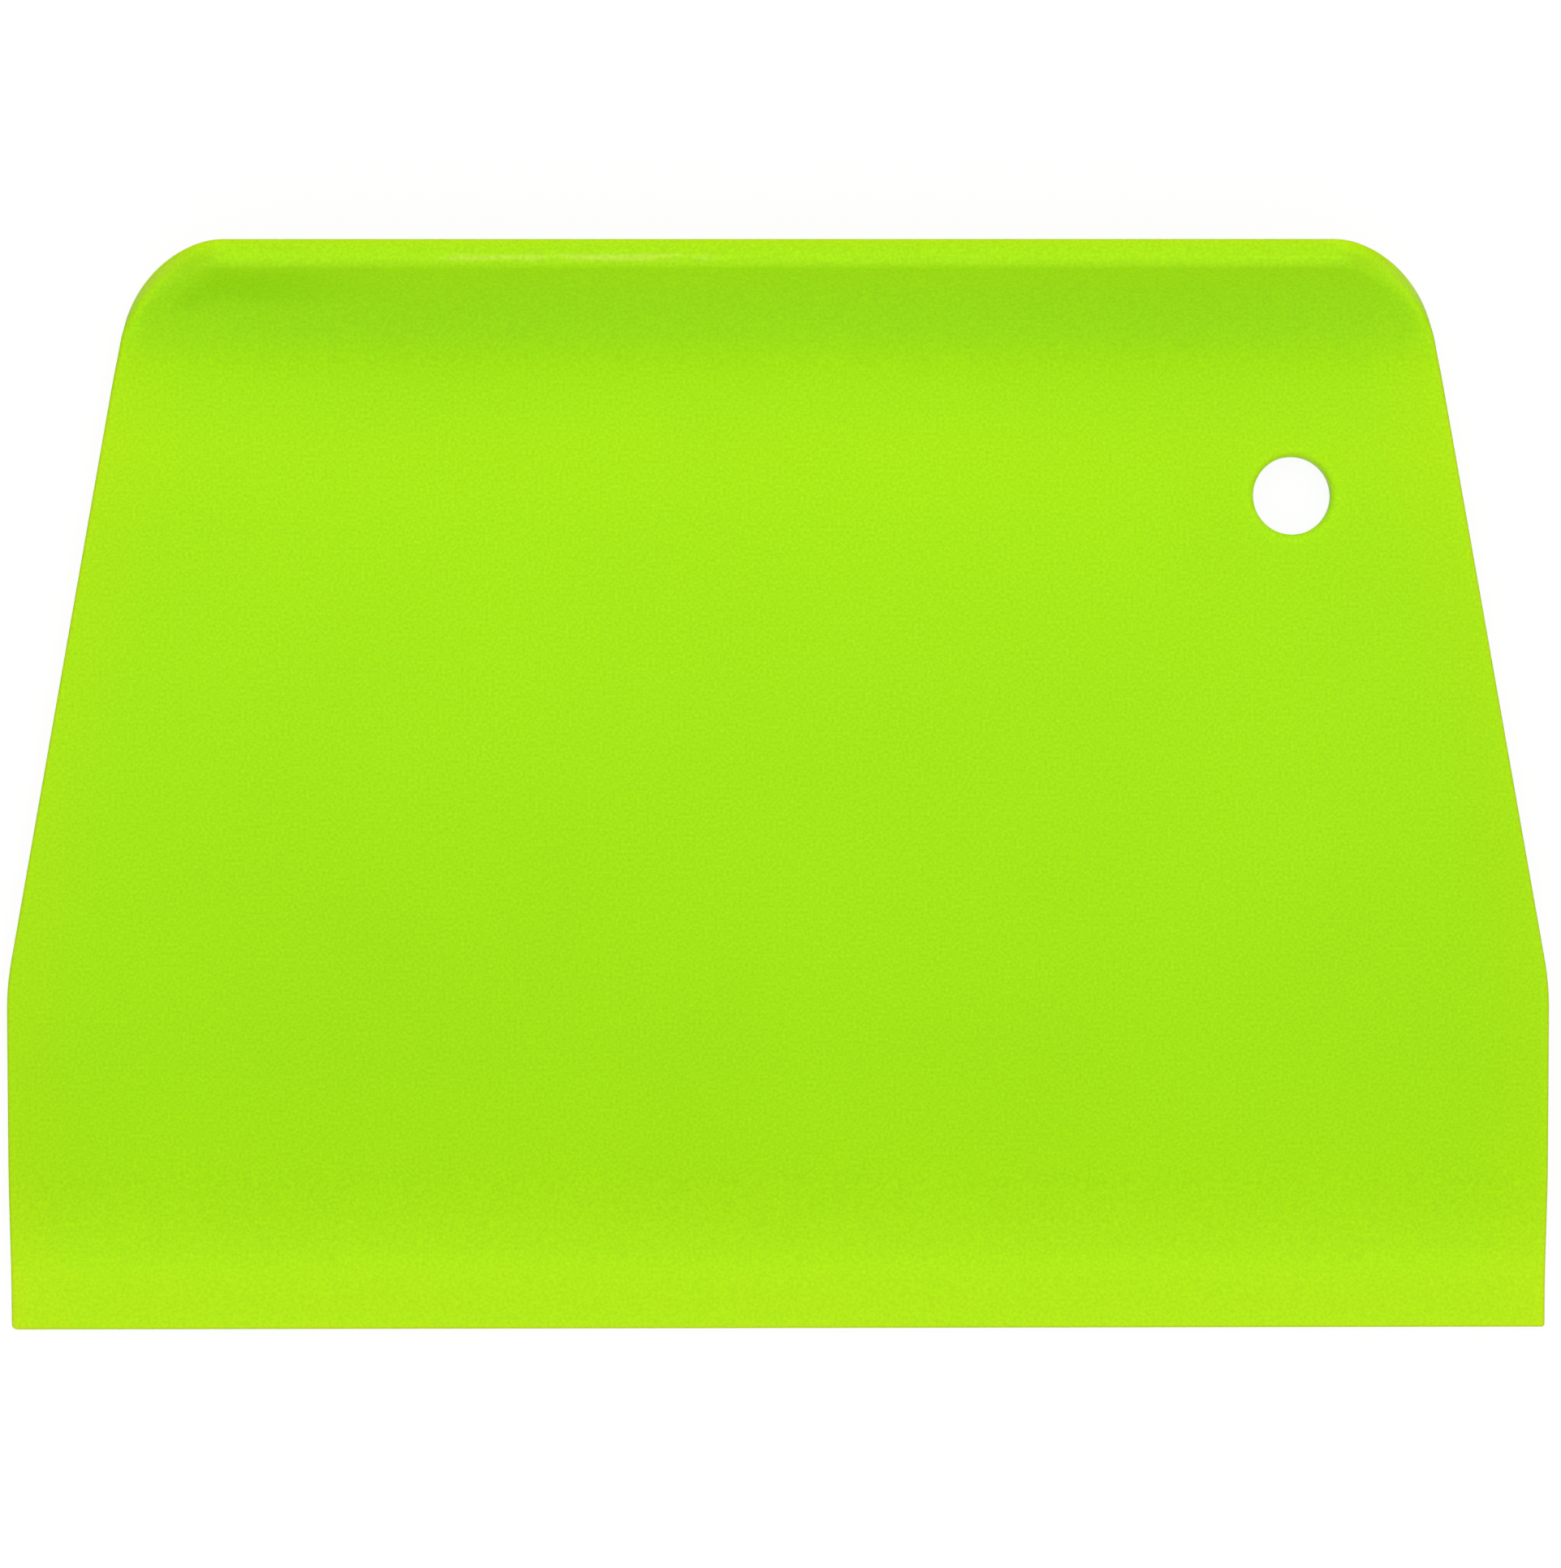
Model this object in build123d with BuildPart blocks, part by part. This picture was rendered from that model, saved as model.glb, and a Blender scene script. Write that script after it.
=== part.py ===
from build123d import *
import os
from math import acos, atan2, radians, sin, tan

# A bowl scraper moulded in one piece: a flat plate with a straight thin blade along one long edge,
# sloping sides, and a lip that curls up along the other long edge. It lies on its back.
# X runs along the blade, Y from the blade to the lip, and Z up from the back face.
# The origin is under the middle of the scraper, on its back face. Lengths in mm, angles in degrees.

# Whole scraper
shoulder_width = 150.0  # from shoulder to shoulder, the widest place, before they are rounded
depth = 105.5  # from the blade edge to the outermost line of the lip, seen from above
wall = 2.7  # thickness of the plate and of the lip

# Sides and corners, seen from above
blade_inset = 0.25  # from the shoulders in to the corners of the blade
shoulder_rise = 33.5  # from the blade edge up to the shoulders
side_lean = 10.0  # how far the sides above the shoulders lean in from the Y axis
shoulder_radius = 27.0
corner_radius = 10.7  # the two corners of the lip
blade_corner_radius = 0.6

# Blade: a thin strip, then a slope up to the full wall, both on the front
tip_wall = 1.0
tip_land = 5.0  # width of the thin strip
taper_run = 9.5  # width of the slope
taper_blend = 30.0  # radius at both ends of the slope
blend_room_share = 0.9  # of the flat beside a blend, the most that it may use up

# Lip
lip_radius = 10.4  # on the inside of the curl
lip_height = 10.4  # from the back of the plate up to the back edge of the rim

# Hang hole
hole_diameter = 7.6
hole_drop = 11.55  # from the line where the lip starts to curl down to the middle of the hole
hole_inset = 16.6  # from the side on the right to the middle of the hole

# Rounded edges, all round the scraper and the hole
edge_radius = 0.4
edge_room_share = 0.4  # of the thinnest wall, the most that a rounded edge may take
smooth_turn = 5.0  # faces that turn less than this at an edge run on into each other


def side_at(y):
    """The distance from the middle of the scraper out to its side, at a height above the shoulders."""
    return shoulder_width / 2 - (y - shoulder_y) * tan(radians(side_lean))


# Places that follow from the sizes
blade_y = -depth / 2
lip_y = depth / 2
shoulder_y = blade_y + shoulder_rise
land_y = blade_y + tip_land
slope_y = land_y + taper_run
back_radius = lip_radius + wall
lip_turn = acos(1 - lip_height / back_radius)
bend_y = lip_y - back_radius * sin(lip_turn)
hole_y = bend_y - hole_drop
blade_half_width = shoulder_width / 2 - blade_inset
lip_half_width = side_at(lip_y)

# Radii that their walls limit
slope_turn = atan2(wall - tip_wall, taper_run)
blend_room = blend_room_share * min(tip_land, taper_run / 2)
blend = min(taper_blend, blend_room / tan(slope_turn / 2))
edge_round = min(edge_radius, edge_room_share * tip_wall)


def sharp(edge, faces):
    """Says whether the two faces that share an edge turn there, and don't run on into each other."""
    middle = edge @ 0.5
    pair = [face for face in faces if any(edge.is_same(side) for side in face.edges())]
    if len(pair) < 2:
        return False
    return pair[0].normal_at(middle).get_angle(pair[1].normal_at(middle)) > smooth_turn


# The outline of the whole scraper, seen from above.
with BuildSketch(Plane.XY) as outline:
    with BuildLine():
        Polyline(
            (-blade_half_width, blade_y),
            (blade_half_width, blade_y),
            (shoulder_width / 2, shoulder_y),
            (lip_half_width, lip_y),
            (-lip_half_width, lip_y),
            (-shoulder_width / 2, shoulder_y),
            close=True,
        )
    make_face()
    # From the lip down, so that the rows of corners below keep their places in the order.
    fillet(outline.vertices().group_by(Axis.Y)[2], corner_radius)
    fillet(outline.vertices().group_by(Axis.Y)[1], shoulder_radius)
    fillet(outline.vertices().group_by(Axis.Y)[0], blade_corner_radius)

# The plate in section, from the blade to the line where the lip starts to curl.
with BuildSketch(Plane.YZ) as plate_section:
    with BuildLine():
        Polyline(
            (bend_y, 0),
            (bend_y, wall),
            (slope_y, wall),
            (land_y, tip_wall),
            (blade_y, tip_wall),
            (blade_y, 0),
            close=True,
        )
    make_face()
    slope_ends = plate_section.vertices().filter_by_position(Axis.X, land_y, slope_y)
    fillet(slope_ends, blend)

# The back of the curl is the round face of this quarter roll, cut to the outline seen from above.
with BuildPart() as roll:
    with BuildSketch(Plane.YZ):
        with BuildLine():
            Line((bend_y + back_radius, back_radius), (bend_y, back_radius))
            Line((bend_y, back_radius), (bend_y, 0))
            RadiusArc((bend_y, 0), (bend_y + back_radius, back_radius), -back_radius)
        make_face()
    extrude(amount=shoulder_width, both=True)
    extrude(outline.sketch, amount=back_radius, mode=Mode.INTERSECT)
curl_back = roll.faces().filter_by(GeomType.CYLINDER).sort_by(SortBy.AREA)[-1]

# The scraper. The lip's edges stand square to the curl, so its rim shows from above and narrows
# round the corners.
with BuildPart() as scraper:
    extrude(plate_section.sketch, amount=shoulder_width, both=True)
    extrude(outline.sketch, amount=wall, mode=Mode.INTERSECT)
    thicken(to_thicken=curl_back, amount=-wall)
    with Locations((side_at(hole_y) - hole_inset, hole_y, wall)):
        Hole(hole_diameter / 2, wall)
    all_faces = scraper.faces()
    rims = scraper.edges().filter_by(lambda edge: sharp(edge, all_faces))
    fillet(rims, edge_round)

scraper.part.label = "scraper"
os.makedirs("parts", exist_ok=True)
export_step(scraper.part, "parts/scraper.step")
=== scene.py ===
"""Dresses a one-piece moulded bowl scraper in its satin lime plastic, and lights it on a pale floor.

Lengths are in metres and angles in radians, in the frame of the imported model: X runs along the
blade, Y from the blade to the curled lip, and Z up from the flat back.
"""

import logging
import math
from dataclasses import dataclass, field
from enum import Enum
from typing import Any

import bmesh
import bpy
from mathutils import Matrix, Vector


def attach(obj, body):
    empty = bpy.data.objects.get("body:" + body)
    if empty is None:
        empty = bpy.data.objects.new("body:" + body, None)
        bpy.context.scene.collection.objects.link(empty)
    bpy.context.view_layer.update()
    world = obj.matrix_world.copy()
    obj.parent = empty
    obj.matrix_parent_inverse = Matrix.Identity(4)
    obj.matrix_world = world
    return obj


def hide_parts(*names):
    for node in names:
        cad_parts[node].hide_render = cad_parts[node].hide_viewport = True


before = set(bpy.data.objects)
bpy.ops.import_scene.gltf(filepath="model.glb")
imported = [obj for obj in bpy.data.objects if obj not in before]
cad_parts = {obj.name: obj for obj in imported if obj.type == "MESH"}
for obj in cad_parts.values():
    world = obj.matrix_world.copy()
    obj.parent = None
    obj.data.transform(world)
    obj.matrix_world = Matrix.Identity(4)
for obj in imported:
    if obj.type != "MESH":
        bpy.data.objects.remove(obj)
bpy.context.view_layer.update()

MM = 0.001
CUT_TOLERANCE = 0.0001 * MM
WHITE = (1.0, 1.0, 1.0, 1.0)
Colour = tuple[float, float, float, float]
log = logging.getLogger("bowl_scraper")


class Sock:
    """One socket of a node tree, so that shader maths reads as plain arithmetic."""

    def __init__(self, tree: bpy.types.NodeTree, socket: bpy.types.NodeSocket) -> None:
        """Wraps a socket.

        Args:
            tree: The node tree that holds the socket.
            socket: The output socket to wrap.
        """
        self.tree = tree
        self.socket = socket

    def maths(self, operation: str, *values: "Sock | float") -> "Sock":
        """Adds a Math node.

        Args:
            operation: The node's operation, such as MULTIPLY.
            *values: Its inputs in order, as sockets or numbers.

        Returns:
            The node's result.
        """
        node = self.tree.nodes.new("ShaderNodeMath")
        node.operation = operation
        for slot, value in zip(node.inputs, values):
            if isinstance(value, Sock):
                self.tree.links.new(value.socket, slot)
            else:
                slot.default_value = value
        return Sock(self.tree, node.outputs[0])

    def __add__(self, other: "Sock | float") -> "Sock":
        """Adds a value."""
        return self.maths("ADD", self, other)

    def __radd__(self, other: float) -> "Sock":
        """Adds to a number."""
        return self.maths("ADD", other, self)

    def __sub__(self, other: "Sock | float") -> "Sock":
        """Takes a value off."""
        return self.maths("SUBTRACT", self, other)

    def __rsub__(self, other: float) -> "Sock":
        """Takes this off a number."""
        return self.maths("SUBTRACT", other, self)

    def __mul__(self, other: "Sock | float") -> "Sock":
        """Multiplies by a value."""
        return self.maths("MULTIPLY", self, other)

    def __rmul__(self, other: float) -> "Sock":
        """Multiplies a number."""
        return self.maths("MULTIPLY", other, self)

    def __truediv__(self, other: "Sock | float") -> "Sock":
        """Divides by a value."""
        return self.maths("DIVIDE", self, other)

    def __abs__(self) -> "Sock":
        """Drops the sign."""
        return self.maths("ABSOLUTE", self)

    def least(self, other: "Sock | float") -> "Sock":
        """The smaller of two values."""
        return self.maths("MINIMUM", self, other)

    def most(self, other: "Sock | float") -> "Sock":
        """The larger of two values."""
        return self.maths("MAXIMUM", self, other)

    def root(self) -> "Sock":
        """The square root."""
        return self.maths("SQRT", self)


class Recipe:
    """A node tree that is written node by node."""

    MIX_FACTOR, MIX_A, MIX_B, MIX_RESULT = 0, 6, 7, 2
    NOISE_MIDDLE = 0.5

    def __init__(self, tree: bpy.types.NodeTree) -> None:
        """Empties a tree and takes it.

        Args:
            tree: The node tree of a material or of the world.
        """
        self.tree = tree
        tree.nodes.clear()

    def node(
        self,
        kind: str,
        settings: dict[str, Any] | None = None,
        sockets: dict[str | int, Any] | None = None,
    ) -> bpy.types.Node:
        """Adds a node.

        Args:
            kind: The node's type.
            settings: Its properties, with a ramp's stops under stops.
            sockets: A value or a Sock for each input, by name or number.

        Returns:
            The new node.
        """
        made = self.tree.nodes.new(kind)
        for name, value in (settings or {}).items():
            if name == "stops":
                self.set_stops(made.color_ramp, value)
            else:
                setattr(made, name, value)
        for name, value in (sockets or {}).items():
            if isinstance(value, Sock):
                self.tree.links.new(value.socket, made.inputs[name])
            else:
                made.inputs[name].default_value = value
        return made

    def set_stops(self, ramp: bpy.types.ColorRamp, stops: list[tuple[float, Any]]) -> None:
        """Sets a colour ramp's stops.

        Args:
            ramp: The ramp, which has two stops to begin with.
            stops: Each stop's place and colour, from low to high.
        """
        while len(ramp.elements) < len(stops):
            ramp.elements.new(1.0)
        for element, (place, colour) in zip(ramp.elements, stops):
            element.position = place
            element.color = colour

    def out(self, node: bpy.types.Node, name: str | int = 0) -> Sock:
        """Wraps one of a node's outputs."""
        return Sock(self.tree, node.outputs[name])

    def blend(self, share: "Sock | float", low: Any, high: Any, mode: str = "MIX") -> Sock:
        """Mixes two colours.

        Args:
            share: How much of the second colour to take.
            low: The first colour, or a Sock.
            high: The second colour, or a Sock.
            mode: The Mix node's blend type.

        Returns:
            The mixed colour.
        """
        mixed = self.node(
            "ShaderNodeMix",
            {"data_type": "RGBA", "blend_type": mode},
            {self.MIX_FACTOR: share, self.MIX_A: low, self.MIX_B: high},
        )
        return self.out(mixed, self.MIX_RESULT)

    def tinted(self, colour: Sock, tint: Sock) -> Sock:
        """Multiplies a colour by a tint."""
        return self.blend(1.0, colour, tint, "MULTIPLY")

    def fade(self, value: Sock, low: float, high: float) -> Sock:
        """A smooth step from 0 to 1.

        Args:
            value: What the step follows.
            low: Where it leaves 0.
            high: Where it reaches 1.

        Returns:
            The step's value.
        """
        step = self.node(
            "ShaderNodeMapRange",
            {"interpolation_type": "SMOOTHSTEP"},
            {"Value": value, "From Min": low, "From Max": high},
        )
        return self.out(step)

    def noise(self, place: Sock, size: float, detail: float) -> Sock:
        """Adds a noise around 0.

        Args:
            place: The coordinates.
            size: The rough size of one blotch.
            detail: How many finer layers it has.

        Returns:
            The noise, from about -0.5 to 0.5.
        """
        blotches = self.node(
            "ShaderNodeTexNoise",
            sockets={"Vector": place, "Scale": 1.0 / size, "Detail": detail},
        )
        return self.out(blotches) - self.NOISE_MIDDLE


class Side(Enum):
    """The two ends of the scraper, with the sign of X there."""

    LEFT = -1
    RIGHT = 1


@dataclass
class Scraper:
    """The scraper: a plate with a thin blade, sloping sides and a lip that curls up.

    It is made flat, as if the curl were unrolled. There, X is X, Y is the length along the back
    face from the middle of the scraper, and Z is the height over the back face. Then it is rolled.
    """

    shoulder_width: float = 150.0 * MM
    depth: float = 105.5 * MM
    wall: float = 2.7 * MM
    blade_inset: float = 0.25 * MM
    shoulder_rise: float = 33.5 * MM
    side_lean: float = math.radians(10.0)
    shoulder_radius: float = 27.0 * MM
    corner_radius: float = 10.7 * MM
    tip_wall: float = 1.0 * MM
    tip_land: float = 5.0 * MM
    taper_run: float = 9.5 * MM
    taper_blend: float = 30.0 * MM
    lip_radius: float = 10.4 * MM
    lip_height: float = 10.4 * MM
    hole_radius: float = 3.8 * MM
    hole_drop: float = 11.55 * MM
    hole_inset: float = 16.6 * MM
    edge_round: float = 0.4 * MM
    hole_round: float = 0.8 * MM
    rim_round: float = 1.1 * MM
    blade_corner_round: dict[Side, float] = field(
        default_factory=lambda: {Side.LEFT: 0.55 * MM, Side.RIGHT: 0.3 * MM}
    )
    sharp_turn: float = math.radians(40.0)
    round_profile: float = 0.5
    border: float = 1.6 * MM
    side_step: float = 2.4 * MM
    rows_in_curl: int = 28
    rows_in_blend: int = 5
    steps_in_corner: int = 28
    steps_in_shoulder: int = 6
    hole_frame: float = 8.0 * MM
    frame_sides: int = 4
    steps_in_hole: int = 64
    round_steps: int = 6

    def __post_init__(self) -> None:
        """Works out the places that follow from the sizes."""
        self.blade_y = -self.depth / 2
        self.lip_y = self.depth / 2
        self.shoulder_y = self.blade_y + self.shoulder_rise
        self.land_y = self.blade_y + self.tip_land
        self.slope_y = self.land_y + self.taper_run
        self.back_radius = self.lip_radius + self.wall
        self.lip_turn = math.acos(1 - self.lip_height / self.back_radius)
        self.bend_y = self.lip_y - self.back_radius * math.sin(self.lip_turn)
        self.rim_run = self.bend_y + self.back_radius * self.lip_turn
        self.slope_turn = math.atan2(self.wall - self.tip_wall, self.taper_run)
        self.blend_run = self.taper_blend * math.tan(self.slope_turn / 2)
        self.hole_y = self.bend_y - self.hole_drop
        self.hole_x = self.side_at(self.hole_y) - self.hole_inset

    def side_at(self, y: float) -> float:
        """The distance from the middle out to the side, at a height above the shoulders."""
        return self.shoulder_width / 2 - (y - self.shoulder_y) * math.tan(self.side_lean)

    def unrolled(self, y: float) -> float:
        """The length along the back face at which the curled back face stands over a place.

        Args:
            y: The place, as it is seen from above.

        Returns:
            The length, which is the same as the place below the curl.
        """
        if y <= self.bend_y:
            return y
        share = min(1.0, (y - self.bend_y) / self.back_radius)
        return self.bend_y + self.back_radius * math.asin(share)

    def rolled(self, flat: Vector) -> Vector:
        """Where a point of the flat form comes to lie on the curled scraper.

        Args:
            flat: The point on the flat form.

        Returns:
            The point in the frame.
        """
        if flat.y <= self.bend_y:
            return flat.copy()
        turn = (flat.y - self.bend_y) / self.back_radius
        reach = self.back_radius - flat.z
        return Vector(
            (
                flat.x,
                self.bend_y + reach * math.sin(turn),
                self.back_radius - reach * math.cos(turn),
            )
        )

    def thickness(self, y: float) -> float:
        """The wall at a place along the back face: thin at the blade, and then a blended slope.

        Args:
            y: The place, from the blade up.

        Returns:
            The thickness there.
        """
        slope = math.tan(self.slope_turn)
        run = self.blend_run
        if y <= self.land_y - run:
            return self.tip_wall
        if y >= self.slope_y + run:
            return self.wall
        plain = self.tip_wall + (y - self.land_y) * slope
        low_end = self.land_y + run * math.cos(self.slope_turn)
        high_end = self.slope_y - run * math.cos(self.slope_turn)
        if y < low_end:
            return self.tip_wall + self.arc_rise(y - (self.land_y - run))
        if y > high_end:
            return self.wall - self.arc_rise((self.slope_y + run) - y)
        return plain

    def arc_rise(self, along: float) -> float:
        """How far a blend's arc has left its tangent, at a distance along it."""
        return self.taper_blend - math.sqrt(self.taper_blend**2 - along**2)

    def outline_corners(self) -> list[tuple[Vector, float, int]]:
        """The corners of the outline seen from above, anticlockwise from the blade's left end.

        Returns:
            Each corner's place, its radius and the steps of its arc. A sharp one has no steps.
        """
        blade_half = self.shoulder_width / 2 - self.blade_inset
        lip_half = self.side_at(self.lip_y)
        right = [
            (blade_half, self.blade_y, 0.0, 0),
            (self.shoulder_width / 2, self.shoulder_y, self.shoulder_radius, self.steps_in_shoulder),
            (lip_half, self.lip_y, self.corner_radius, self.steps_in_corner),
        ]
        left = [(-x, y, radius, steps) for x, y, radius, steps in reversed(right)]
        return [(Vector((x, y, 0)), radius, steps) for x, y, radius, steps in right + left]

    def draw_outline(self, bm: bmesh.types.BMesh) -> None:
        """Draws the outline as one closed loop of edges.

        Args:
            bm: The empty mesh to draw into.
        """
        corners = self.outline_corners()
        count = len(corners)
        ends = []
        for index, (corner, radius, steps) in enumerate(corners):
            arriving = (corner - corners[index - 1][0]).normalized()
            leaving = (corners[(index + 1) % count][0] - corner).normalized()
            turn = arriving.angle(leaving)
            start = corner - arriving * radius * math.tan(turn / 2)
            first = last = bm.verts.new(start)
            if steps:
                inward = Vector((-arriving.y, arriving.x, 0))
                arc = bmesh.ops.spin(
                    bm,
                    geom=[first],
                    cent=start + inward * radius,
                    axis=(0, 0, 1),
                    angle=turn,
                    steps=steps,
                )
                last = arc["geom_last"][0]
            ends.append((first, last))
        for index, (first, _) in enumerate(ends):
            bm.edges.new((ends[index - 1][1], first))
        while long := [edge for edge in bm.edges if edge.calc_length() > self.side_step]:
            bmesh.ops.subdivide_edges(bm, edges=long, cuts=1)

    def cut_rows(
        self,
        bm: bmesh.types.BMesh,
        faces: list[bmesh.types.BMFace],
        places: list[float],
        across: Vector,
    ) -> list[bmesh.types.BMFace]:
        """Cuts faces of the flat form along straight lines.

        Args:
            bm: The flat form.
            faces: The faces to cut.
            places: Where each line lies along the direction.
            across: The direction that the lines are square to.

        Returns:
            The faces after the cuts.
        """
        for place in places:
            edges = {edge for face in faces for edge in face.edges}
            verts = {vert for face in faces for vert in face.verts}
            cut = bmesh.ops.bisect_plane(
                bm,
                geom=[*faces, *edges, *verts],
                plane_co=across * place,
                plane_no=across,
                dist=CUT_TOLERANCE,
            )
            faces = [part for part in cut["geom"] if isinstance(part, bmesh.types.BMFace)]
        return faces

    def curl_rows(self) -> list[float]:
        """The places of the rows that let the lip curl, with one just before it.

        Returns:
            The places along the back face, from low to high.
        """
        top = self.rim_run - self.border
        step = (top - self.bend_y) / self.rows_in_curl
        rows = [self.bend_y + step * index for index in range(self.rows_in_curl)]
        return [self.bend_y - self.border / 2, *rows]

    def taper_rows(self) -> list[float]:
        """The places of the rows that shape the blade's slope and its two blends.

        Returns:
            The places along the back face, from low to high.
        """
        rows = []
        for middle in (self.land_y, self.slope_y):
            low, high = middle - self.blend_run, middle + self.blend_run
            step = (high - low) / self.rows_in_blend
            rows += [low + step * index for index in range(self.rows_in_blend + 1)]
        return [*rows, self.slope_y + self.blend_run + self.border / 2]

    def cut_hole(
        self, bm: bmesh.types.BMesh, faces: list[bmesh.types.BMFace]
    ) -> list[bmesh.types.BMFace]:
        """Opens the hang hole in the flat form, inside a square frame of cuts.

        Args:
            bm: The flat form.
            faces: The faces inside the border.

        Returns:
            The faces inside the border, without the ones next to the hole.
        """
        centre = Vector((self.hole_x, self.hole_y, 0))
        reach = self.hole_frame
        faces = self.cut_rows(bm, faces, [centre.x - reach, centre.x + reach], Vector((1, 0, 0)))
        faces = self.cut_rows(bm, faces, [centre.y - reach, centre.y + reach], Vector((0, 1, 0)))
        window = min(faces, key=lambda face: (face.calc_center_median() - centre).length)
        faces.remove(window)
        steps = self.steps_in_hole // self.frame_sides
        half_side = math.pi / self.frame_sides
        turns = [half_side * (2 * index / steps - 1) for index in range(1, steps)]
        offsets = [reach * math.tan(turn) for turn in turns]
        pieces = self.cut_rows(bm, [window], [centre.x + step for step in offsets], Vector((1, 0, 0)))
        pieces = self.cut_rows(bm, pieces, [centre.y + step for step in offsets], Vector((0, 1, 0)))
        bmesh.ops.delete(bm, geom=pieces, context="FACES")
        rim = [edge for edge in bm.edges if edge.is_boundary and self.beside_hole(edge)]
        middle = bmesh.ops.contextual_create(bm, geom=rim)["faces"][0]
        for radius in (self.hole_radius + self.border, self.hole_radius):
            bmesh.ops.inset_individual(bm, faces=[middle], thickness=self.border / 2)
            for vert in middle.verts:
                vert.co = centre + (vert.co - centre).normalized() * radius
        bmesh.ops.delete(bm, geom=[middle], context="FACES_ONLY")
        return faces

    def beside_hole(self, edge: bmesh.types.BMEdge) -> bool:
        """Whether an edge of the flat form lies within the frame of cuts round the hole.

        Args:
            edge: The edge.

        Returns:
            True within the frame.
        """
        middle = (edge.verts[0].co + edge.verts[1].co) / 2
        from_hole = middle - Vector((self.hole_x, self.hole_y, 0))
        return from_hole.length < self.hole_frame * math.sqrt(2)

    def build_flat(self, bm: bmesh.types.BMesh) -> None:
        """Makes the back face of the flat form, with its border, rows and hole.

        Args:
            bm: The empty mesh to build in.
        """
        self.draw_outline(bm)
        for vert in bm.verts:
            vert.co.y = self.unrolled(vert.co.y)
        plate = bmesh.ops.contextual_create(bm, geom=bm.edges[:])["faces"]
        border = set(
            bmesh.ops.inset_individual(
                bm, faces=plate, thickness=self.border, use_even_offset=True
            )["faces"]
        )
        inside = [face for face in bm.faces if face not in border]
        inside = self.cut_hole(bm, inside)
        self.cut_rows(bm, inside, self.curl_rows(), Vector((0, 1, 0)))
        self.cut_rows(bm, bm.faces[:], self.taper_rows(), Vector((0, 1, 0)))

    def rounding(self, edge: bmesh.types.BMEdge) -> float:
        """The radius that a sharp edge of the scraper is rounded with.

        Args:
            edge: An edge of the rolled form, outside or in the hole.

        Returns:
            The radius.
        """
        middle = (edge.verts[0].co + edge.verts[1].co) / 2
        rise = abs(edge.verts[0].co.z - edge.verts[1].co.z)
        from_hole = (middle.xy - Vector((self.hole_x, self.hole_y))).length
        front = middle.z > self.wall / 2 if middle.y < self.bend_y else self.is_front(middle)
        if middle.y < self.land_y and rise > self.tip_wall / 2:
            return self.blade_corner_round[Side.LEFT if middle.x < 0 else Side.RIGHT]
        if from_hole < self.hole_radius + self.border / 2 and front:
            return self.hole_round
        if front and middle.y > self.bend_y:
            share = (middle.z - self.wall) / (self.lip_height - self.wall)
            share = min(1.0, max(0.0, share))
            return self.edge_round + (self.rim_round - self.edge_round) * math.sqrt(share)
        return self.edge_round

    def is_front(self, point: Vector) -> bool:
        """Whether a point of the curl lies nearer to its front than to its back."""
        reach = math.hypot(point.y - self.bend_y, self.back_radius - point.z)
        return reach < self.back_radius - self.wall / 2

    def build(self) -> bpy.types.Object:
        """Models the scraper and puts it in place of its plain solid.

        Returns:
            The finished piece.
        """
        bm = bmesh.new()
        self.build_flat(bm)
        grown = bmesh.ops.extrude_face_region(bm, geom=bm.faces[:])
        for part in grown["geom"]:
            if isinstance(part, bmesh.types.BMVert):
                part.co.z = self.thickness(part.co.y)
        for vert in bm.verts:
            vert.co = self.rolled(vert.co)
        bmesh.ops.recalc_face_normals(bm, faces=bm.faces[:])
        weight = bm.edges.layers.float.new("bevel_weight_edge")
        for edge in bm.edges:
            if edge.calc_face_angle(0.0) > self.sharp_turn:
                edge[weight] = self.rounding(edge) / self.rim_round
        mesh = bpy.data.meshes.new("scraper_body")
        bm.to_mesh(mesh)
        bm.free()
        mesh.shade_smooth()
        piece = bpy.data.objects.new("scraper_body", mesh)
        bpy.context.scene.collection.objects.link(piece)
        rounds = piece.modifiers.new("rounded_edges", "BEVEL")
        rounds.limit_method = "WEIGHT"
        rounds.offset_type = "OFFSET"
        rounds.width = self.rim_round
        rounds.segments = self.round_steps
        rounds.profile = self.round_profile
        rounds.use_clamp_overlap = False
        flats = piece.modifiers.new("flat_faces_stay_flat", "WEIGHTED_NORMAL")
        flats.keep_sharp = False
        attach(piece, "root")
        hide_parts("scraper")
        return piece


class Spot:
    """Where a point of the scraper lies, read from its coordinates."""

    def __init__(self, recipe: Recipe, scraper: Scraper) -> None:
        """Reads the coordinates and works the distances out.

        Args:
            recipe: The node tree of the material.
            scraper: The scraper, whose outline the distances are taken from.
        """
        self.place = recipe.out(recipe.node("ShaderNodeTexCoord"), "Object")
        parts = recipe.node("ShaderNodeSeparateXYZ", sockets={"Vector": self.place})
        self.along, self.up, self.rise = (recipe.out(parts, axis) for axis in "XYZ")
        half_width = scraper.shoulder_width / 2
        sloping = half_width - (self.up - scraper.shoulder_y) * math.tan(scraper.side_lean)
        self.from_side = sloping.least(half_width) - abs(self.along)
        radius = scraper.corner_radius
        self.past_side = (radius - self.from_side).most(0.0)
        self.past_lip = (radius - (scraper.lip_y - self.up)).most(0.0)
        past = self.past_side * self.past_side + self.past_lip * self.past_lip
        self.from_rim = radius - past.root()


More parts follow.
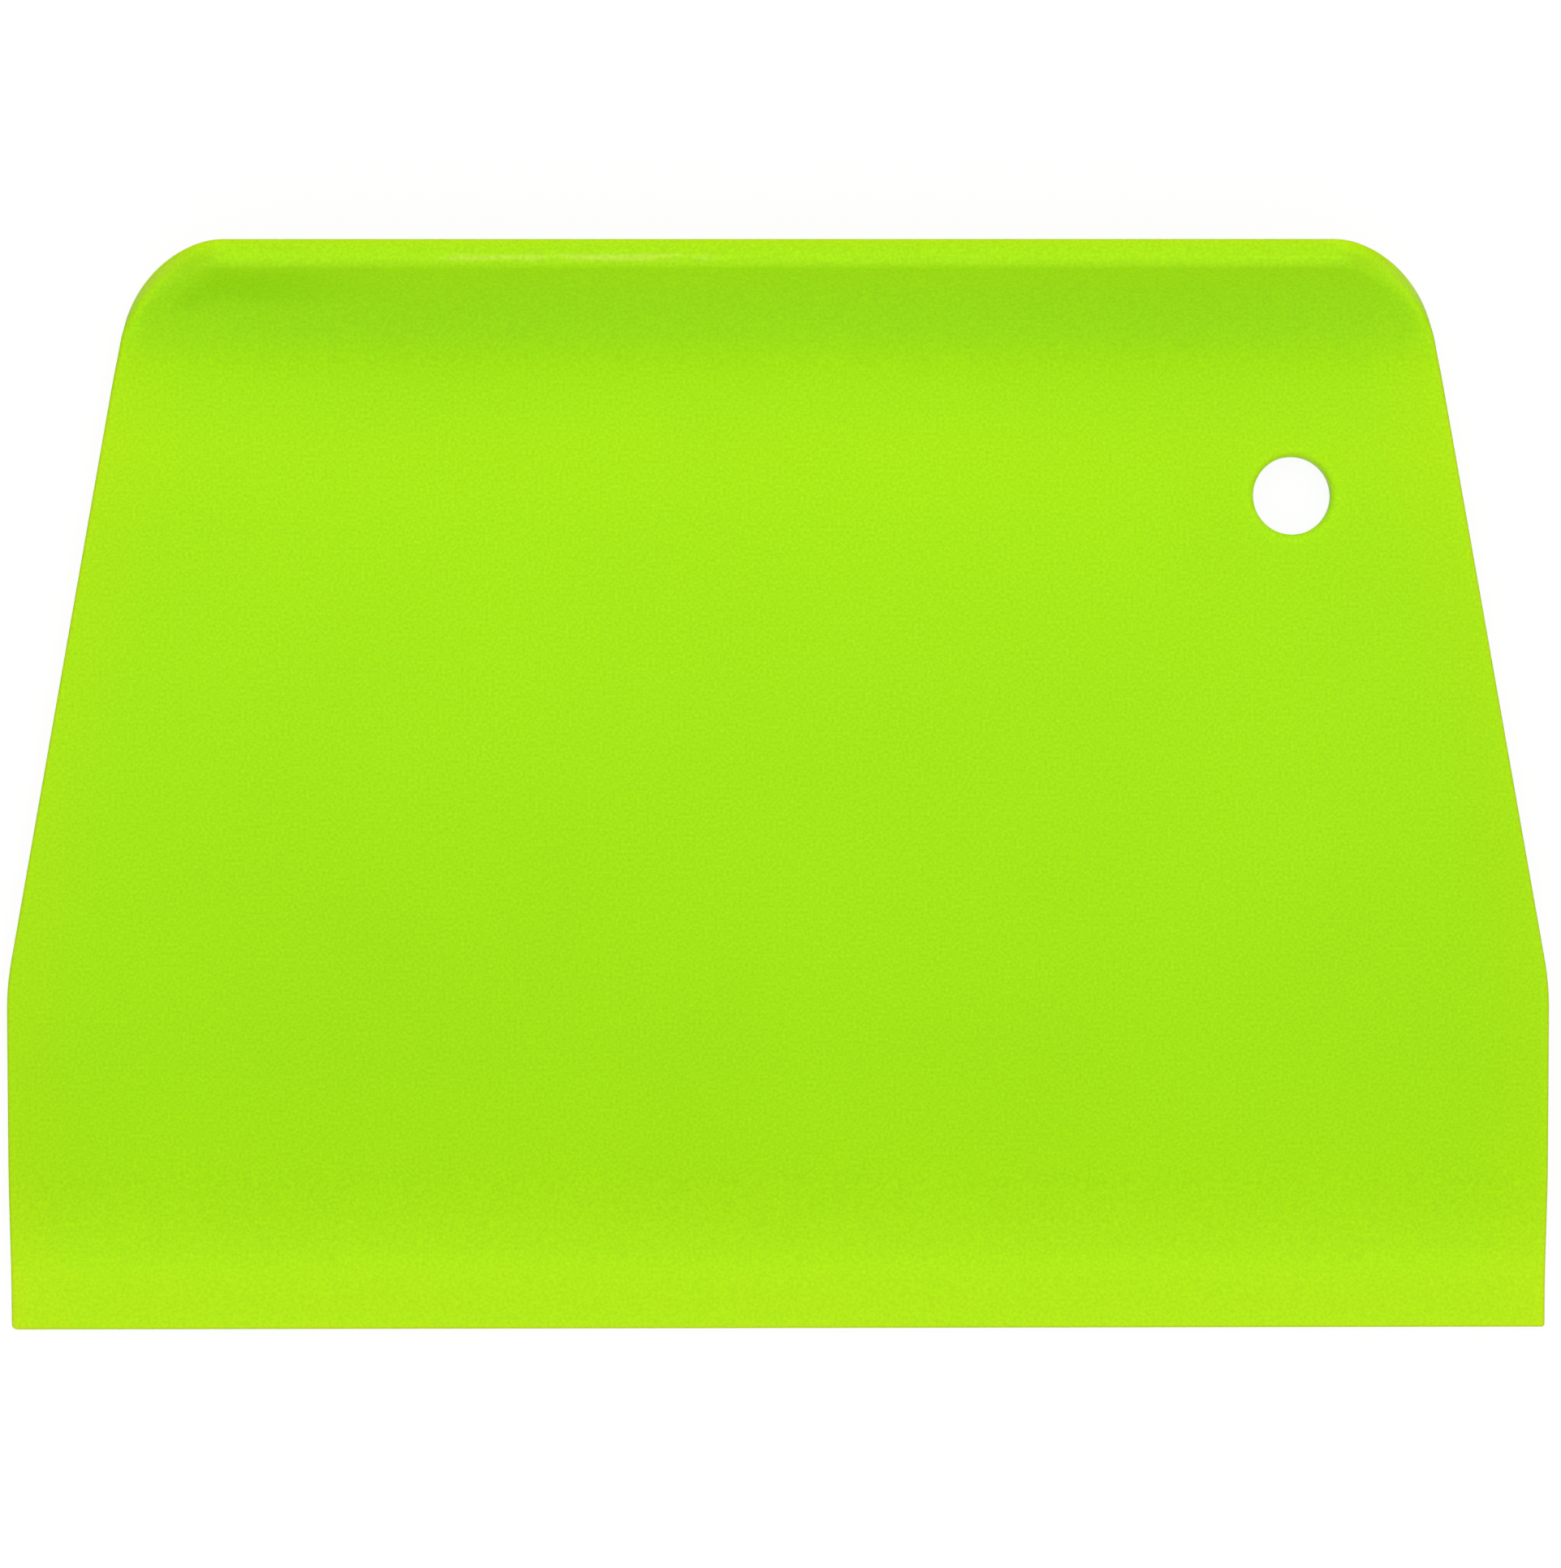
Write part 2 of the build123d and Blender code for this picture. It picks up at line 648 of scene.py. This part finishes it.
@dataclass(frozen=True)
class LimePlastic:
    """Satin lime plastic that lets light through, with a paler, yellower painted glow on the thin
    blade.

    A tint multiplies the colour under it, and a white one leaves it as it is. A reach is a pair of
    distances: the tint is full up to the first one, and gone from the second one on.
    """

    # Colour along Y, with painted light and shade in it: the paler, yellower blade below -41 mm is a
    # painted glow of light through the thin plastic; the slow darkening from the lip down towards the
    # blade partly stands in for light falling off; the dip at 44-46 mm and the lift at 49 mm are
    # painted shade and light in the lip's hollow; the lower green at 51-52 mm is painted shade on the
    # rim.
    shades_with_painted_light: tuple[tuple[float, Colour], ...] = (
        (-51.0 * MM, (0.515, 0.968, 0.009, 1.0)),
        (-47.1 * MM, (0.513, 0.926, 0.008, 1.0)),
        (-44.7 * MM, (0.479, 0.860, 0.007, 1.0)),
        (-41.0 * MM, (0.454, 0.826, 0.005, 1.0)),
        (-38.0 * MM, (0.436, 0.810, 0.005, 1.0)),
        (-26.0 * MM, (0.422, 0.802, 0.007, 1.0)),
        (5.0 * MM, (0.432, 0.824, 0.008, 1.0)),
        (26.0 * MM, (0.450, 0.830, 0.008, 1.0)),
        (33.0 * MM, (0.466, 0.832, 0.008, 1.0)),
        (38.0 * MM, (0.448, 0.826, 0.008, 1.0)),
        (41.0 * MM, (0.440, 0.822, 0.006, 1.0)),
        (44.0 * MM, (0.405, 0.803, 0.006, 1.0)),
        (46.0 * MM, (0.402, 0.806, 0.006, 1.0)),
        (49.0 * MM, (0.424, 0.828, 0.011, 1.0)),
        (51.0 * MM, (0.410, 0.775, 0.009, 1.0)),
        (52.0 * MM, (0.415, 0.765, 0.005, 1.0)),
    )
    # Painted glow: the margins along the sides are paler and yellower, for light that comes through
    # the edges.
    side: Colour = (1.06, 0.99, 1.0, 1.0)
    side_glow_reach: tuple[float, float] = (0.0, 9.0 * MM)
    curl_fade: float = 8.4 * MM
    corner_fade: float = 5.35 * MM
    # Painted glow along the lip's rim, for light that passes through the thin wall.
    lip_glow: Colour = (1.12, 1.065, 1.0, 1.0)
    lip_glow_reach: tuple[float, float] = (1.05 * MM, 4.2 * MM)
    lip_glow_narrowing: float = 2.0
    # Painted glow on the outermost edge of the lip's two corners.
    corner_glow: Colour = (1.13, 1.15, 1.0, 1.0)
    corner_glow_reach: tuple[float, float] = (0.233 * MM, 1.4 * MM)
    corner_glow_rise: tuple[float, float] = (3.21 * MM, 8.56 * MM)
    # Painted shade: darkens the hollow just inside the lip's left corner.
    hollow: Colour = (0.885, 0.94, 0.65, 1.0)
    hollow_start: tuple[float, float] = (2.5 * MM, 4.0 * MM)
    hollow_end: tuple[float, float] = (4.8 * MM, 7.5 * MM)
    hollow_rise: tuple[float, float] = (3.4 * MM, 5.6 * MM)
    hollow_reach: tuple[float, float] = (-52.0 * MM, -36.0 * MM)
    # Painted glint: a pale, broken line along the rim's crest, left of its middle.
    rim_glint: Colour = (1.22, 0.985, 7.0, 1.0)
    rim_glint_ends: tuple[float, float] = (-34.0 * MM, -5.0 * MM)
    rim_glint_end_fade: float = 4.0 * MM
    rim_glint_inset: float = 1.87 * MM
    rim_glint_reach: tuple[float, float] = (0.15 * MM, 0.45 * MM)
    rim_glint_depth: float = 1.0 * MM
    rim_glint_patch: float = 0.6 * MM
    rim_glint_stretch: tuple[float, float, float] = (0.12, 1.0, 1.0)
    rim_glint_detail: float = 2.0
    rim_glint_levels: tuple[float, float] = (-0.2, 0.05)
    cloud_size: float = 30.0 * MM
    cloud_detail: float = 2.0
    cloud_play: float = 0.06
    grain_size: float = 0.3 * MM
    grain_detail: float = 1.0
    grain_depth: float = 0.006 * MM
    grain_play: float = 0.28
    roughness: float = 0.5
    roughness_size: float = 3.0 * MM
    roughness_detail: float = 3.0
    roughness_play: float = 0.1
    specular: float = 0.08
    see_through: float = 1.0
    see_through_depth: float = 1.4 * MM
    see_through_shares: tuple[float, float, float] = (1.0, 1.0, 0.15)

    def shade(self, recipe: Recipe, scraper: Scraper, spot: Spot) -> Sock:
        """Gives the colour from the blade up to the lip, with the painted glow, light and shade of
        its stops.

        Args:
            recipe: The node tree.
            scraper: The scraper.
            spot: Where the point lies.

        Returns:
            The colour.
        """
        span = scraper.lip_y - scraper.blade_y
        ramp = recipe.node(
            "ShaderNodeValToRGB",
            {"stops": [((at - scraper.blade_y) / span, colour) for at, colour in self.shades_with_painted_light]},
            {"Fac": (spot.up - scraper.blade_y) / span},
        )
        return recipe.out(ramp)

    def side_glow_tint(self, recipe: Recipe, spot: Spot, on_curl: Sock) -> Sock:
        """Paints a glow on the margins along the two sides, below the curl, for light through the
        edges.

        Args:
            recipe: The node tree.
            spot: Where the point lies.
            on_curl: A mask that is 1 on the curled lip.

        Returns:
            The tint.
        """
        near_side = 1 - recipe.fade(spot.from_side, *self.side_glow_reach)
        return recipe.blend(near_side * (1 - on_curl), WHITE, self.side)

    def lip_glow_tint(self, recipe: Recipe, spot: Spot, on_curl: Sock, in_corner: Sock) -> Sock:
        """Paints a glow along the lip's rim, in a band that narrows round the corners.

        Args:
            recipe: The node tree.
            spot: Where the point lies.
            on_curl: A mask that is 1 on the curled lip.
            in_corner: A mask that is 1 in the lip's two corners.

        Returns:
            The tint.
        """
        narrowed = spot.from_rim * (1 + self.lip_glow_narrowing * in_corner)
        near_rim = 1 - recipe.fade(narrowed, *self.lip_glow_reach)
        return recipe.blend(near_rim * on_curl, WHITE, self.lip_glow)

    def corner_glow_tint(self, recipe: Recipe, spot: Spot, in_corner: Sock) -> Sock:
        """Paints a glow on the outermost edge of the lip's two corners.

        Args:
            recipe: The node tree.
            spot: Where the point lies.
            in_corner: A mask that is 1 in the lip's two corners.

        Returns:
            The tint.
        """
        at_edge = 1 - recipe.fade(spot.from_rim, *self.corner_glow_reach)
        up_corner = recipe.fade(spot.past_lip, *self.corner_glow_rise)
        return recipe.blend(at_edge * in_corner * up_corner, WHITE, self.corner_glow)

    def hollow_shade_tint(self, recipe: Recipe, spot: Spot) -> Sock:
        """Paints shade into the hollow just inside the lip's left corner, which it darkens a little.

        Args:
            recipe: The node tree.
            spot: Where the point lies.

        Returns:
            The tint.
        """
        begun = recipe.fade(spot.from_rim, *self.hollow_start)
        ended = recipe.fade(spot.from_rim, *self.hollow_end)
        at_left = 1 - recipe.fade(spot.along, *self.hollow_reach)
        up_corner = recipe.fade(spot.past_lip, *self.hollow_rise)
        return recipe.blend((begun - ended) * at_left * up_corner, WHITE, self.hollow)

    def rim_glint_tint(self, recipe: Recipe, scraper: Scraper, spot: Spot) -> Sock:
        """Paints a faint, broken glint along the rim, left of its middle.

        Args:
            recipe: The node tree.
            scraper: The scraper, whose lip the line follows.
            spot: Where the point lies.

        Returns:
            The tint.
        """
        start, end = self.rim_glint_ends
        begun = recipe.fade(spot.along, start, start + self.rim_glint_end_fade)
        ended = recipe.fade(spot.along, end - self.rim_glint_end_fade, end)
        off_line = abs(spot.up - (scraper.lip_y - self.rim_glint_inset))
        line = 1 - recipe.fade(off_line, *self.rim_glint_reach)
        rim_foot = scraper.lip_height - self.rim_glint_depth
        on_rim = recipe.fade(spot.rise, rim_foot, scraper.lip_height)
        stretched = recipe.node(
            "ShaderNodeVectorMath",
            {"operation": "MULTIPLY"},
            {0: spot.place, 1: self.rim_glint_stretch},
        )
        blotches = recipe.noise(recipe.out(stretched), self.rim_glint_patch, self.rim_glint_detail)
        patches = recipe.fade(blotches, *self.rim_glint_levels)
        return recipe.blend((begun - ended) * line * on_rim * patches, WHITE, self.rim_glint)

    def play_tint(self, recipe: Recipe, spot: Spot, grain: Sock) -> Sock:
        """Tints the surface with its fine grain and with wide, faint clouds.

        Args:
            recipe: The node tree.
            spot: Where the point lies.
            grain: The grain's noise.

        Returns:
            The tint, which is grey.
        """
        cloud = recipe.noise(spot.place, self.cloud_size, self.cloud_detail)
        play = 1 + cloud * self.cloud_play + grain * self.grain_play
        grey = recipe.node("ShaderNodeCombineColor", sockets={0: play, 1: play, 2: play})
        return recipe.out(grey)

    def material(self, scraper: Scraper) -> bpy.types.Material:
        """Writes the material.

        Args:
            scraper: The scraper, whose blade, sides and lip the colour follows.

        Returns:
            The material.
        """
        made = bpy.data.materials.new("satin_lime_plastic")
        made.use_nodes = True
        recipe = Recipe(made.node_tree)
        spot = Spot(recipe, scraper)
        on_curl = recipe.fade(spot.up, scraper.bend_y, scraper.bend_y + self.curl_fade)
        in_corner = recipe.fade(spot.past_side.least(spot.past_lip), 0.0, self.corner_fade)
        grain = recipe.noise(spot.place, self.grain_size, self.grain_detail)
        uneven = recipe.noise(spot.place, self.roughness_size, self.roughness_detail)
        colour = self.shade(recipe, scraper, spot)
        colour = recipe.tinted(colour, self.side_glow_tint(recipe, spot, on_curl))
        colour = recipe.tinted(colour, self.lip_glow_tint(recipe, spot, on_curl, in_corner))
        colour = recipe.tinted(colour, self.corner_glow_tint(recipe, spot, in_corner))
        colour = recipe.tinted(colour, self.hollow_shade_tint(recipe, spot))
        colour = recipe.tinted(colour, self.rim_glint_tint(recipe, scraper, spot))
        colour = recipe.tinted(colour, self.play_tint(recipe, spot, grain))
        bump = recipe.node("ShaderNodeBump", sockets={"Height": grain, "Distance": self.grain_depth})
        shader = recipe.node(
            "ShaderNodeBsdfPrincipled",
            {"subsurface_method": "RANDOM_WALK"},
            {
                "Base Color": colour,
                "Roughness": self.roughness + uneven * self.roughness_play,
                "Specular IOR Level": self.specular,
                "Subsurface Weight": self.see_through,
                "Subsurface Radius": self.see_through_shares,
                "Subsurface Scale": self.see_through_depth,
                "Normal": recipe.out(bump),
            },
        )
        recipe.node("ShaderNodeOutputMaterial", sockets={"Surface": recipe.out(shader)})
        return made


@dataclass(frozen=True)
class Lamp:
    """A soft rectangular lamp that faces the middle of the scraper.

    Its azimuth and elevation are in degrees, as they are seen from the scraper.
    """

    name: str
    azimuth: float
    elevation: float
    reach: float
    size: tuple[float, float]
    brightness: float
    mirrored: bool = True

    def hang(self) -> None:
        """Adds the lamp. Its brightness is on the scale on which a white background has 1."""
        data = bpy.data.lights.new(self.name, "AREA")
        data.shape = "RECTANGLE"
        data.size, data.size_y = self.size
        data.energy = self.brightness * math.pi * self.size[0] * self.size[1]
        lamp = bpy.data.objects.new(self.name, data)
        turn = math.radians(self.azimuth)
        rise = math.radians(self.elevation)
        away = Vector(
            (math.cos(rise) * math.cos(turn), math.cos(rise) * math.sin(turn), math.sin(rise))
        )
        facing = away.to_track_quat("Z", "Y").to_matrix().to_4x4()
        lamp.matrix_world = Matrix.Translation(away * self.reach) @ facing
        lamp.visible_camera = False
        lamp.visible_glossy = self.mirrored
        bpy.context.scene.collection.objects.link(lamp)


@dataclass
class Studio:
    """The pale floor, the soft light and the camera almost square above the scraper.

    The sensor's width is in millimetres, as Blender takes it.
    """

    camera_far: float = 600.0 * MM
    camera_pitch: float = math.radians(0.23)
    camera_yaw: float = math.radians(0.6)
    camera_roll: float = math.radians(0.055)
    off_centre: tuple[float, float] = (0.19 * MM, 0.33 * MM)
    focal_px: float = 7572.8
    picture_px: tuple[int, int] = (1923, 1932)
    sensor: float = 36.0
    floor_half: float = 3.0
    floor_drop: float = 0.05 * MM
    floor_own_light: float = 0.7
    floor_white: float = 1.3
    floor_matt: float = 0.35
    ambient: float = 0.25
    horizon_seen: float = 0.93
    zenith_seen: float = 0.4
    bright_below: float = math.radians(35.0)
    dim_above: float = math.radians(65.0)
    lamps: tuple[Lamp, ...] = (
        Lamp("overhead", 90.0, 77.0, 0.75, (0.54, 0.54), 0.65, mirrored=False),
        Lamp("beyond_lip", 90.0, 43.0, 0.60, (0.85, 0.50), 1.28),
        Lamp("blade_end", -90.0, 38.0, 0.85, (1.1, 0.90), 0.97),
        Lamp("right", 0.0, 45.0, 0.75, (1.0, 0.62), 0.77),
        Lamp("left", 180.0, 45.0, 0.75, (1.0, 0.62), 0.62),
    )

    def build_camera(self) -> None:
        """Puts the camera over the scraper, with the lip at the top of the picture."""
        turn = (
            Matrix.Rotation(self.camera_pitch, 4, "X")
            @ Matrix.Rotation(self.camera_yaw, 4, "Y")
            @ Matrix.Rotation(self.camera_roll, 4, "Z")
        )
        data = bpy.data.cameras.new("camera")
        data.sensor_width = self.sensor
        data.lens = self.focal_px * self.sensor / max(self.picture_px)
        camera = bpy.data.objects.new("camera", data)
        place = Matrix.Translation((*self.off_centre, self.camera_far))
        camera.matrix_world = turn.inverted() @ place
        bpy.context.scene.collection.objects.link(camera)
        bpy.context.scene.camera = camera

    def seen(self, recipe: Recipe) -> Sock:
        """A mask that is 1 for what the camera sees, straight, by reflection or through glass.

        Args:
            recipe: The node tree.

        Returns:
            The mask.
        """
        path = recipe.node("ShaderNodeLightPath")
        straight = recipe.out(path, "Is Camera Ray")
        mirrored = recipe.out(path, "Is Glossy Ray")
        through = recipe.out(path, "Is Transmission Ray")
        return straight.most(mirrored).most(through)

    def build_floor(self) -> None:
        """Lays the pale floor under the scraper, which keeps a faint shadow."""
        bm = bmesh.new()
        bmesh.ops.create_grid(bm, x_segments=1, y_segments=1, size=self.floor_half)
        bmesh.ops.translate(bm, verts=bm.verts[:], vec=(0, 0, -self.floor_drop))
        mesh = bpy.data.meshes.new("floor")
        bm.to_mesh(mesh)
        bm.free()
        floor = bpy.data.objects.new("floor", mesh)
        bpy.context.scene.collection.objects.link(floor)
        made = bpy.data.materials.new("pale_floor")
        made.use_nodes = True
        recipe = Recipe(made.node_tree)
        grey = (self.floor_matt, self.floor_matt, self.floor_matt, 1)
        matt = recipe.node("ShaderNodeBsdfDiffuse", sockets={"Color": grey})
        white = recipe.node(
            "ShaderNodeEmission", sockets={"Color": WHITE, "Strength": self.floor_white}
        )
        share = self.seen(recipe) * self.floor_own_light
        both = recipe.node(
            "ShaderNodeMixShader", sockets={0: share, 1: recipe.out(matt), 2: recipe.out(white)}
        )
        recipe.node("ShaderNodeOutputMaterial", sockets={"Surface": recipe.out(both)})
        mesh.materials.append(made)

    def build_world(self) -> None:
        """Gives a surround that is seen pale, less bright overhead, and that lights evenly."""
        world = bpy.data.worlds.new("surround")
        world.use_nodes = True
        bpy.context.scene.world = world
        recipe = Recipe(world.node_tree)
        way = recipe.out(recipe.node("ShaderNodeTexCoord"), "Generated")
        height = recipe.out(recipe.node("ShaderNodeSeparateXYZ", sockets={"Vector": way}), "Z")
        overhead = recipe.fade(height, math.sin(self.bright_below), math.sin(self.dim_above))
        seen = self.horizon_seen - overhead * (self.horizon_seen - self.zenith_seen)
        mask = self.seen(recipe)
        strength = mask * seen + (1 - mask) * self.ambient
        shade = recipe.node(
            "ShaderNodeBackground", sockets={"Color": WHITE, "Strength": strength}
        )
        recipe.node("ShaderNodeOutputWorld", sockets={"Surface": recipe.out(shade)})

    def build_lamps(self) -> None:
        """Hangs the soft lamps."""
        for lamp in self.lamps:
            lamp.hang()


def main() -> None:
    """Builds the scraper and its studio."""
    logging.basicConfig(level=logging.INFO, format="%(message)s")
    scraper = Scraper()
    piece = scraper.build()
    piece.data.materials.append(LimePlastic().material(scraper))
    log.info("%s: %d faces", piece.name, len(piece.data.polygons))
    studio = Studio()
    studio.build_floor()
    studio.build_world()
    studio.build_lamps()
    studio.build_camera()
    bpy.context.scene.view_settings.view_transform = "Standard"


if __name__ == "__main__":
    main()
